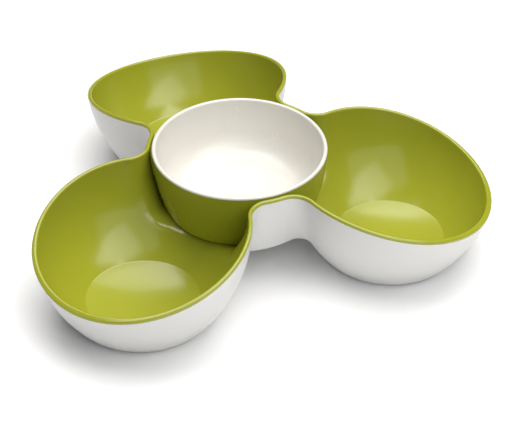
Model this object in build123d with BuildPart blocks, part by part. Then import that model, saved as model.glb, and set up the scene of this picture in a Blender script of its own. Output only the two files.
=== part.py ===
from build123d import *
from math import sqrt
import os

# A chip and dip server: a tray of three round bowls joined at a raised middle, and a loose
# dip bowl that stands in the middle. Each is moulded in two colours: an outer shell, and a
# liner that turns over the shell's edge as the rim. Millimetres, +Z up, table at Z = 0.
# The origin is the centre of the footprint, on the table.

# Tray: the side bowls
bowl_count = 3
bowl_spacing = 115.0         # from the middle's axis to a side bowl's axis
bowl_radius = 80.5           # outside, at the height where the wall is upright
bowl_arc = 121.0             # radius of the wall's section
bowl_corner = 6.0            # between the wall and the base, outside
bowl_foot_radius = 46.0      # inside the foot ring
bowl_foot_depth = 0.9
bowl_inner_arc = 86.7        # radius of the inside wall's section, rounder than the outside
bowl_floor_edge = 8.7        # height of the crease round the dished floor
bowl_floor_sag = 4.8         # the floor's middle is this far below the crease
bowl_floor_corner = 2.0      # round along the crease
bowl_hollow_top = 18.0       # the hollow between shell and liner reaches up to here
bowl_hollow_core = 16.0      # the liner rests on the shell within this radius

# Tray: the raised middle
middle_x = -27.45            # puts the footprint's centre at the origin
middle_height = 78.5         # its rim above the table
middle_radius = 70.5
middle_arc = 138.0
middle_base = 25.7           # its underside above the table
middle_corner = 4.5
neck_radius = 15.0           # hollow blend between the middle and a side bowl, outside

# Tray: the wall, and the rim, which falls away from the middle along an arc
tray_wall = 3.1
tray_shell_wall = 1.5
tray_liner_wall = tray_wall - tray_shell_wall
tray_lip = 2.4               # height of the liner's lip
tray_lip_round = 1.4
rim_arc = 243.0
rim_reach = 215.0

# Dip bowl
dip_radius = 66.0
dip_arc = 133.7
dip_height = 80.0            # its rim above the table
dip_base = middle_base + tray_wall
dip_corner = 3.0
dip_floor = 36.0             # inside, above the table
dip_floor_corner = 20.0
dip_foot_radius = 49.0       # inside the foot ring
dip_wall = 3.1
dip_foot_depth = dip_floor - dip_wall - dip_base
dip_shell_wall = 1.5
dip_lip = 1.7
dip_lip_round = 1.4

foot_round = 0.4             # edges inside the foot rings
spare = 8.0                  # a block stands this far above its rim before it is cut


def arc_reach(radius, arc, depth):
    """Radius of a bowl at a depth below the level where its wall is upright."""
    return radius - arc + sqrt(arc**2 - depth**2)


def bowl_block(radius, arc, top, floor, corner, sag=0):
    """Filled bowl with an arched wall, upright at its top, and a rounded corner at its floor.

    The floor is flat, or it is dished to this sag below its edge.
    """
    depth = top - floor
    edge = (arc_reach(radius, arc, depth), floor)
    with BuildPart() as block:
        with BuildSketch(Plane.XZ) as half:
            with BuildLine():
                if sag:
                    TangentArc((0, floor - sag), edge, tangent=(1, 0))
                else:
                    Line((0, floor), edge)
                ThreePointArc(edge, (arc_reach(radius, arc, depth / 2), top - depth / 2), (radius, top))
                Polyline((radius, top), (radius, top + spare), (0, top + spare), (0, floor - sag))
            make_face()
            fillet(half.vertices().sort_by_distance((*edge, 0))[0], corner)
        revolve(axis=Axis.Z)
    return block.part


def foot_hollow(radius, base, depth):
    """Shallow round hollow up into a base, which leaves a foot ring round it."""
    with BuildPart() as hollow:
        with BuildSketch(Plane.XY.offset(base - depth)):
            Circle(radius)
        extrude(amount=2 * depth)
        fillet(hollow.edges().group_by(Axis.Z)[-1], foot_round)
    return hollow.part


def foot_edges(body, radius):
    """The sharp edges inside the foot rings of a body."""
    lowest = body.edges().group_by(Axis.Z)[0].filter_by(GeomType.CIRCLE)
    return lowest.filter_by(lambda edge: abs(edge.radius - radius) < foot_round)


def side_bowl_block(inset):
    """A side bowl as a filled block, outside or between its layers, moved in by inset."""
    floor = bowl_foot_depth + inset if inset else 0
    return bowl_block(bowl_radius - inset, bowl_arc - inset, middle_height, floor, bowl_corner + inset)


def side_bowl_inside(skin):
    """The room inside a side bowl, with a skin round it added."""
    return bowl_block(
        bowl_radius - tray_wall + skin,
        bowl_inner_arc + skin,
        middle_height,
        bowl_floor_edge - skin,
        bowl_floor_corner + skin,
        bowl_floor_sag,
    )


def side_bowl_hollow():
    """The room between the shell and the liner round the foot of a side bowl."""
    with BuildPart() as hollow:
        with BuildSketch(Plane.XY):
            Circle(bowl_radius)
            Circle(bowl_hollow_core, mode=Mode.SUBTRACT)
        extrude(amount=bowl_hollow_top)
        add(side_bowl_inside(tray_liner_wall), mode=Mode.SUBTRACT)
    return hollow.part


def tray_block(inset, side_bowl):
    """The tray as a filled block, from its side bowl and its middle's wall moved in by inset."""
    middle = bowl_block(
        middle_radius - inset, middle_arc - inset, middle_height, middle_base + inset, middle_corner
    )
    with BuildPart() as block:
        with Locations((middle_x, 0)):
            add(middle)
            with PolarLocations(bowl_spacing, bowl_count):
                add(side_bowl)
        fillet(block.edges(Select.NEW), neck_radius + inset)
    return block.part


def rim_room(drop, over):
    """All the room over or under the tray's rim, with the rim lowered by drop."""
    rim = middle_height - drop
    reach = rim_reach - middle_radius
    half_fall = rim_arc - sqrt(rim_arc**2 - (reach / 2) ** 2)
    full_fall = rim_arc - sqrt(rim_arc**2 - reach**2)
    far = middle_height + spare + 1 if over else -1
    with BuildPart() as room:
        with BuildSketch(Plane.XZ):
            with BuildLine():
                Polyline((0, far), (0, rim), (middle_radius, rim))
                ThreePointArc(
                    (middle_radius, rim),
                    (middle_radius + reach / 2, rim - half_fall),
                    (rim_reach, rim - full_fall),
                )
                Polyline((rim_reach, rim - full_fall), (rim_reach, far), (0, far))
            make_face()
        revolve(axis=Axis.Z)
    return room.part


def rim_edges(body, lowest):
    """Both edges of an open rim: the edges that only one of its upward faces has."""
    faces = body.faces().filter_by(
        lambda face: face.center().Z > lowest and face.normal_at(face.center()).Z > 0.7
    )
    edges = faces.edges()
    return [edge for edge in edges if sum(edge.is_same(other) for other in edges) == 1]


def make_tray():
    """Outer shell and liner of the tray."""
    outside = tray_block(0, side_bowl_block(0))
    between = tray_block(tray_shell_wall, side_bowl_block(tray_shell_wall))
    inside = tray_block(tray_wall, side_bowl_inside(0))

    with BuildPart() as tray_outer_shell:
        add(outside)
        with Locations((middle_x, 0)):
            add(rim_room(tray_lip, over=True), mode=Mode.SUBTRACT)
        add(between, mode=Mode.SUBTRACT)
        with Locations((middle_x, 0)):
            with PolarLocations(bowl_spacing, bowl_count):
                add(foot_hollow(bowl_foot_radius, 0, bowl_foot_depth), mode=Mode.SUBTRACT)
        fillet(foot_edges(tray_outer_shell, bowl_foot_radius), foot_round)
    tray_outer_shell.part.label = "tray_outer_shell"

    with BuildPart() as shell_room:
        with Locations((middle_x, 0)):
            add(rim_room(tray_lip, over=False))
        add(between, mode=Mode.SUBTRACT)

    with BuildPart() as tray_liner:
        add(outside)
        with Locations((middle_x, 0)):
            add(rim_room(0, over=True), mode=Mode.SUBTRACT)
        add(inside, mode=Mode.SUBTRACT)
        add(shell_room.part, mode=Mode.SUBTRACT)
        with Locations((middle_x, 0)):
            with PolarLocations(bowl_spacing, bowl_count):
                add(side_bowl_hollow(), mode=Mode.SUBTRACT)
        fillet(rim_edges(tray_liner, lowest=middle_height / 2), tray_lip_round)
    tray_liner.part.label = "tray_liner"
    return tray_outer_shell, tray_liner


def dip_block(inset, floor, corner):
    """The dip bowl as a filled block in its place, its walls moved in by inset."""
    upright = bowl_block(dip_radius - inset, dip_arc - inset, dip_height, floor, corner)
    return upright.moved(Location((middle_x, 0, 0)))


def make_dip_bowl():
    """Outer shell and liner of the dip bowl."""
    outside = dip_block(0, dip_base, dip_corner)
    layer = dip_wall - dip_shell_wall
    between = dip_block(dip_shell_wall, dip_floor - layer, dip_floor_corner + layer)
    inside = dip_block(dip_wall, dip_floor, dip_floor_corner)
    shell_top = Plane.XY.offset(dip_height - dip_lip)

    with BuildPart() as dip_bowl_outer_shell:
        add(outside)
        split(bisect_by=shell_top, keep=Keep.BOTTOM)
        add(between, mode=Mode.SUBTRACT)
        with Locations((middle_x, 0)):
            add(foot_hollow(dip_foot_radius, dip_base, dip_foot_depth), mode=Mode.SUBTRACT)
        fillet(foot_edges(dip_bowl_outer_shell, dip_foot_radius), foot_round)
    dip_bowl_outer_shell.part.label = "dip_bowl_outer_shell"

    with BuildPart() as shell_room:
        with BuildSketch(Plane.XY.offset(dip_base - 1)):
            with Locations((middle_x, 0)):
                Circle(dip_radius + 1)
        extrude(amount=dip_height - dip_lip - dip_base + 1)
        add(between, mode=Mode.SUBTRACT)

    with BuildPart() as dip_bowl_liner:
        add(outside)
        split(bisect_by=Plane.XY.offset(dip_height), keep=Keep.BOTTOM)
        add(inside, mode=Mode.SUBTRACT)
        add(shell_room.part, mode=Mode.SUBTRACT)
        fillet(rim_edges(dip_bowl_liner, lowest=dip_height - dip_lip_round), dip_lip_round)
    dip_bowl_liner.part.label = "dip_bowl_liner"
    return dip_bowl_outer_shell, dip_bowl_liner


os.makedirs("parts", exist_ok=True)
for piece in (*make_tray(), *make_dip_bowl()):
    export_step(piece.part, f"parts/{piece.part.label}.step")
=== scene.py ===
import math
import bpy
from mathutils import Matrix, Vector


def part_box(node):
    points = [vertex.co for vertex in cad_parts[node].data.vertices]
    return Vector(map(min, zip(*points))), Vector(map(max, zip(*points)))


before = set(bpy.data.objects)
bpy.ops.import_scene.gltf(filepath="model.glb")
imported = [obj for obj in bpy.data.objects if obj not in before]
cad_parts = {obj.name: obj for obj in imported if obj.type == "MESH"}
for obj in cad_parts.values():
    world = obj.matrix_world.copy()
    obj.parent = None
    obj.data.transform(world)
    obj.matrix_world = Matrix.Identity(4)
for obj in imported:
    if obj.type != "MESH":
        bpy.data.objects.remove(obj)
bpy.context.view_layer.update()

# A chip and dip server in two moulded plastics: satin white outside, gloss green inside.
# The dip bowl has the same two the other way round. Metres, degrees and watts.

MILLIMETRE = 0.001

# Camera: where it stands round the object, and the point that it looks at
CAMERA_AZIMUTH = 7.54
CAMERA_ELEVATION = 37.52
CAMERA_ROLL = 0.18
CAMERA_DISTANCE = 1.3118
CAMERA_AIM = Vector((-0.0070, -0.0364, 0.0400))
CAMERA_LENS = 121.8

# Studio: azimuths are counted from +X towards +Y, and every softbox faces the tray's middle
FLOOR_SIZE = 8.0
FLOOR_SHADE = 0.96
FLOOR_ROUGHNESS = 0.6
WORLD_COLOUR = (0.95, 0.99, 1.0, 1)
WORLD_STRENGTH = 0.05
SOFTBOXES = (
    # name, azimuth, elevation, distance, width, height, power, colour
    ("key", -28, 52, 1.6, 1.92, 1.0, 22, (1, 0.99, 0.97)),
    ("overhead", 86, 79, 1.6, 1.8, 1.6, 39, (1, 0.985, 0.96)),
    ("front", -62, 40, 2.0, 2.6, 1.8, 12, (0.95, 0.98, 1)),
)

# The key's mask is a wedge. Lengths are parts of the softbox's width or height
KEY_TIP_ALONG = 1.04        # where the wedge's two edges would meet
KEY_TIP_UP = 0.42
KEY_TAPER = 0.8             # how fast the wedge widens from there
KEY_FEATHER = 0.18          # soft border of the wedge
KEY_FALL = (-0.4, 0.9)      # where its light would reach nothing, and where it is full

# Swatches, 0 to 255
WHITE_OUTSIDE = (216, 215, 213)
WHITE_INSIDE = (221, 218, 211)
GREEN = (153, 156, 43)
CHALKY = (205, 203, 198)    # plastic that is scuffed through its gloss

# What all four plastics share
PLASTIC_IOR = 1.56
SKIN_RELIEF = 0.01 * MILLIMETRE
WEAR_REACH = 1.2 * MILLIMETRE       # how far up from the foot ring the scuffs go
WEAR_CHALK = 0.35                   # how much of the chalky colour a scuff takes
WEAR_DULLING = 0.3                  # how much rougher a scuff is
MARK_DULLING = 0.25                 # how much rougher a wipe mark is
MARK_DEPTH = 0.1                    # part of the skin's relief
PIGMENT_SCALE = 14.0
PIGMENT_DRIFT = 0.05

# Each piece's finish. foot names the piece whose foot ring it stands on
FINISHES = {
    "tray_outer_shell": dict(
        name="satin_white", swatch=WHITE_OUTSIDE, roughness=0.36, dulling=0.08,
        wave=0.5, grain=0.25, marks=0.5, foot="tray_outer_shell", wear=1.0,
    ),
    "tray_liner": dict(
        name="gloss_green", swatch=GREEN, roughness=0.17, dulling=0.05,
        wave=0.6, grain=0.05, marks=0.6, foot="tray_outer_shell", wear=0.0,
    ),
    "dip_bowl_outer_shell": dict(
        name="satin_green", swatch=GREEN, roughness=0.24, dulling=0.06,
        wave=0.5, grain=0.1, marks=0.4, foot="dip_bowl_outer_shell", wear=1.0,
    ),
    "dip_bowl_liner": dict(
        name="gloss_white", swatch=WHITE_INSIDE, roughness=0.26, dulling=0.06,
        wave=0.5, grain=0.08, marks=0.5, foot="dip_bowl_outer_shell", wear=0.0,
    ),
}


def linear(swatch):
    """Linear colour of a swatch."""
    channels = [c / 255 for c in swatch]
    return tuple(((c + 0.055) / 1.055) ** 2.4 if c > 0.04 else c / 12.92 for c in channels) + (1.0,)


def direction(azimuth, elevation):
    """Unit vector at an azimuth from +X and an elevation above the table."""
    a, e = math.radians(azimuth), math.radians(elevation)
    return Vector((math.cos(a) * math.cos(e), math.sin(a) * math.cos(e), math.sin(e)))


class Board:
    """A node tree, and short ways to place and join its nodes."""

    def __init__(self, tree):
        self.tree = tree

    def node(self, kind, **settings):
        """New node; settings in capitals are input values, the rest are properties."""
        node = self.tree.nodes.new(kind)
        for name, value in settings.items():
            if name[0].isupper():
                self.feed(value, node.inputs[name.replace("_", " ")])
            else:
                setattr(node, name, value)
        return node

    def feed(self, value, socket):
        """Join an output to a socket, or set the socket to a plain value."""
        if isinstance(value, bpy.types.NodeSocket):
            self.tree.links.new(value, socket)
        else:
            socket.default_value = value

    def math(self, operation, a, b=0.0):
        """Result of one sum on two values, or on the first alone."""
        node = self.node("ShaderNodeMath", operation=operation)
        self.feed(a, node.inputs[0])
        self.feed(b, node.inputs[1])
        return node.outputs[0]

    def noise(self, vector, scale, detail=2.0):
        """Noise between 0 and 1; scale is in waves per metre."""
        node = self.node("ShaderNodeTexNoise", Vector=vector, Scale=scale, Detail=detail)
        return node.outputs["Fac"]

    def ramp(self, value, low, high):
        """Value stretched so that low gives 0 and high gives 1, held between them."""
        node = self.node("ShaderNodeMapRange", Value=value, From_Min=low, From_Max=high)
        return node.outputs["Result"]


def effect(name, inputs, outputs):
    """New node group with named sockets. Gives its board, and its input and output nodes."""
    group = bpy.data.node_groups.new(name, "ShaderNodeTree")
    for label, kind in inputs:
        group.interface.new_socket(label, in_out="INPUT", socket_type="NodeSocket" + kind)
    for label, kind in outputs:
        group.interface.new_socket(label, in_out="OUTPUT", socket_type="NodeSocket" + kind)
    board = Board(group)
    return group, board, board.node("NodeGroupInput").outputs, board.node("NodeGroupOutput").inputs


def make_pigment_drift():
    """Cloudy pigment: the colour drifts a little lighter and darker through the moulding."""
    group, board, given, out = effect(
        "pigment_drift",
        (("Place", "Vector"), ("Colour", "Color"), ("Scale", "Float"), ("Amount", "Float")),
        (("Colour", "Color"),),
    )
    cloud = board.math("SUBTRACT", board.noise(given["Place"], given["Scale"], 3.0), 0.5)
    value = board.math("ADD", board.math("MULTIPLY", cloud, given["Amount"]), 1.0)
    shade = board.node("ShaderNodeHueSaturation", Color=given["Colour"], Value=value)
    board.feed(shade.outputs["Color"], out["Colour"])
    return group


def make_mould_skin():
    """Skin of a polished mould: shallow waves about a centimetre long, fine grain, and duller areas."""
    group, board, given, out = effect(
        "mould_skin",
        (
            ("Place", "Vector"),
            ("Roughness", "Float"),
            ("Dulling", "Float"),
            ("Wave", "Float"),
            ("Grain", "Float"),
        ),
        (("Roughness", "Float"), ("Height", "Float")),
    )
    place = given["Place"]
    cloud = board.math("SUBTRACT", board.noise(place, 28.0), 0.5)
    roughness = board.math("ADD", given["Roughness"], board.math("MULTIPLY", cloud, given["Dulling"]))
    board.feed(roughness, out["Roughness"])
    wave = board.math("MULTIPLY", board.noise(place, 110.0, 1.0), given["Wave"])
    grain = board.math("MULTIPLY", board.noise(place, 2600.0, 2.0), given["Grain"])
    board.feed(board.math("ADD", wave, grain), out["Height"])
    return group


def make_wipe_marks():
    """Hairlines left by a cloth, in two directions that cross, in patches."""
    group, board, given, out = effect(
        "wipe_marks",
        (("Place", "Vector"), ("Amount", "Float")),
        (("Mask", "Float"),),
    )
    patches = board.ramp(board.noise(given["Place"], 18.0), 0.5, 0.72)
    strokes = ((0.5, (30, 2200, 30)), (2.0, (1900, 34, 34)))
    marks = 0.0
    for turn, stretch in strokes:
        place = board.node(
            "ShaderNodeMapping", Vector=given["Place"], Rotation=(0.3, 0.2, turn), Scale=stretch
        )
        lines = board.ramp(board.noise(place.outputs["Vector"], 1.0, 1.0), 0.64, 0.74)
        marks = board.math("ADD", lines, marks)
    marks = board.math("MULTIPLY", board.math("MULTIPLY", marks, patches), given["Amount"])
    board.feed(marks, out["Mask"])
    return group


def make_foot_wear():
    """Scuffed band where a foot ring rubs on what it stands on."""
    group, board, given, out = effect(
        "foot_wear",
        (("Place", "Vector"), ("Level", "Float"), ("Reach", "Float"), ("Amount", "Float")),
        (("Mask", "Float"),),
    )
    height = board.node("ShaderNodeSeparateXYZ", Vector=given["Place"]).outputs["Z"]
    above = board.math("DIVIDE", board.math("SUBTRACT", height, given["Level"]), given["Reach"])
    band = board.math("SUBTRACT", 1.0, board.ramp(above, 0.0, 1.0))
    scuffs = board.ramp(board.noise(given["Place"], 900.0, 4.0), 0.42, 0.62)
    board.feed(board.math("MULTIPLY", board.math("MULTIPLY", band, scuffs), given["Amount"]), out["Mask"])
    return group


def make_effects():
    """The four effects by name. Every plastic uses all of them."""
    groups = (make_pigment_drift(), make_mould_skin(), make_wipe_marks(), make_foot_wear())
    return {group.name: group for group in groups}


def moulded_plastic(effects, name, swatch, roughness, dulling, wave, grain, marks, foot, wear):
    """One of the moulded plastics, with its own colour, gloss, skin and wear."""
    material = bpy.data.materials.new(name)
    material.use_nodes = True
    board = Board(material.node_tree)
    shader = material.node_tree.nodes["Principled BSDF"]
    place = board.node("ShaderNodeTexCoord").outputs["Object"]

    def use(group, **settings):
        return board.node("ShaderNodeGroup", node_tree=effects[group], Place=place, **settings).outputs

    pigment = use("pigment_drift", Colour=linear(swatch), Scale=PIGMENT_SCALE, Amount=PIGMENT_DRIFT)
    skin = use("mould_skin", Roughness=roughness, Dulling=dulling, Wave=wave, Grain=grain)
    wiped = use("wipe_marks", Amount=marks)["Mask"]
    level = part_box(foot)[0][2]
    worn = use("foot_wear", Level=level, Reach=WEAR_REACH, Amount=wear)["Mask"]

    wiped_dull = board.math("MULTIPLY", wiped, MARK_DULLING)
    worn_dull = board.math("MULTIPLY", worn, WEAR_DULLING)
    dull = board.math("ADD", wiped_dull, worn_dull)
    board.feed(board.math("ADD", skin["Roughness"], dull), shader.inputs["Roughness"])

    chalk = board.node("ShaderNodeMix", data_type="RGBA")
    board.feed(board.math("MULTIPLY", worn, WEAR_CHALK), chalk.inputs["Factor"])
    board.feed(pigment["Colour"], chalk.inputs["A"])
    board.feed(linear(CHALKY), chalk.inputs["B"])
    board.feed(chalk.outputs["Result"], shader.inputs["Base Color"])

    height = board.math("SUBTRACT", skin["Height"], board.math("MULTIPLY", wiped, MARK_DEPTH))
    bump = board.node("ShaderNodeBump", Height=height, Strength=1.0, Distance=SKIN_RELIEF)
    board.feed(bump.outputs["Normal"], shader.inputs["Normal"])
    shader.inputs["IOR"].default_value = PLASTIC_IOR
    return material


def camera():
    """The camera, which looks down at the tray from the front."""
    data = bpy.data.cameras.new("camera")
    data.lens = CAMERA_LENS
    data.clip_start = 0.01
    data.clip_end = 100
    obj = bpy.data.objects.new("camera", data)
    bpy.context.scene.collection.objects.link(obj)
    back = direction(CAMERA_AZIMUTH - 90, CAMERA_ELEVATION)
    obj.location = CAMERA_AIM + back * CAMERA_DISTANCE
    obj.rotation_euler = (-back).to_track_quat("-Z", "Y").to_euler()
    obj.rotation_euler.rotate_axis("Z", math.radians(CAMERA_ROLL))
    bpy.context.scene.camera = obj


def softbox(name, azimuth, elevation, distance, width, height, power, colour):
    """Rectangular light that faces the tray's middle. Gives the light."""
    data = bpy.data.lights.new(name, "AREA")
    data.shape = "RECTANGLE"
    data.size = width
    data.size_y = height
    data.energy = power
    data.color = colour
    obj = bpy.data.objects.new(name, data)
    bpy.context.scene.collection.objects.link(obj)
    back = direction(azimuth, elevation)
    obj.location = back * distance
    obj.rotation_euler = (-back).to_track_quat("-Z", "Y").to_euler()
    return data


def taper(light):
    """Mask a light to a wedge that is narrow and bright at one end, wide and dim at the other."""
    light.use_nodes = True
    board = Board(light.node_tree)
    on_light = board.node("ShaderNodeNewGeometry").outputs["Parametric"]
    across = board.node("ShaderNodeSeparateXYZ", Vector=on_light)
    along, up = across.outputs["X"], across.outputs["Y"]
    spread = board.math("MULTIPLY", board.math("SUBTRACT", KEY_TIP_ALONG, along), KEY_TAPER)
    off = board.math("ABSOLUTE", board.math("SUBTRACT", up, KEY_TIP_UP))
    inside = board.ramp(board.math("SUBTRACT", spread, off), 0.0, KEY_FEATHER)
    bright = board.ramp(along, *KEY_FALL)
    emission = light.node_tree.nodes["Emission"]
    board.feed(board.math("MULTIPLY", inside, bright), emission.inputs["Strength"])


def studio():
    """Floor, world and lights."""
    world = bpy.data.worlds.new("studio")
    bpy.context.scene.world = world
    world.use_nodes = True
    background = world.node_tree.nodes["Background"]
    background.inputs["Color"].default_value = WORLD_COLOUR
    background.inputs["Strength"].default_value = WORLD_STRENGTH
    bpy.ops.mesh.primitive_plane_add(size=FLOOR_SIZE)
    floor = bpy.context.object
    floor.name = "floor"
    paint = bpy.data.materials.new("floor_paint")
    paint.use_nodes = True
    shader = paint.node_tree.nodes["Principled BSDF"]
    shader.inputs["Base Color"].default_value = (FLOOR_SHADE, FLOOR_SHADE, FLOOR_SHADE, 1)
    shader.inputs["Roughness"].default_value = FLOOR_ROUGHNESS
    floor.data.materials.append(paint)
    lights = {box[0]: softbox(*box) for box in SOFTBOXES}
    taper(lights["key"])
    bpy.context.scene.view_settings.view_transform = "Standard"


def finish_plastics():
    """Give each moulded piece its own plastic."""
    effects = make_effects()
    for node, finish in FINISHES.items():
        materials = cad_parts[node].data.materials
        materials.clear()
        materials.append(moulded_plastic(effects, **finish))


camera()
studio()
finish_plastics()
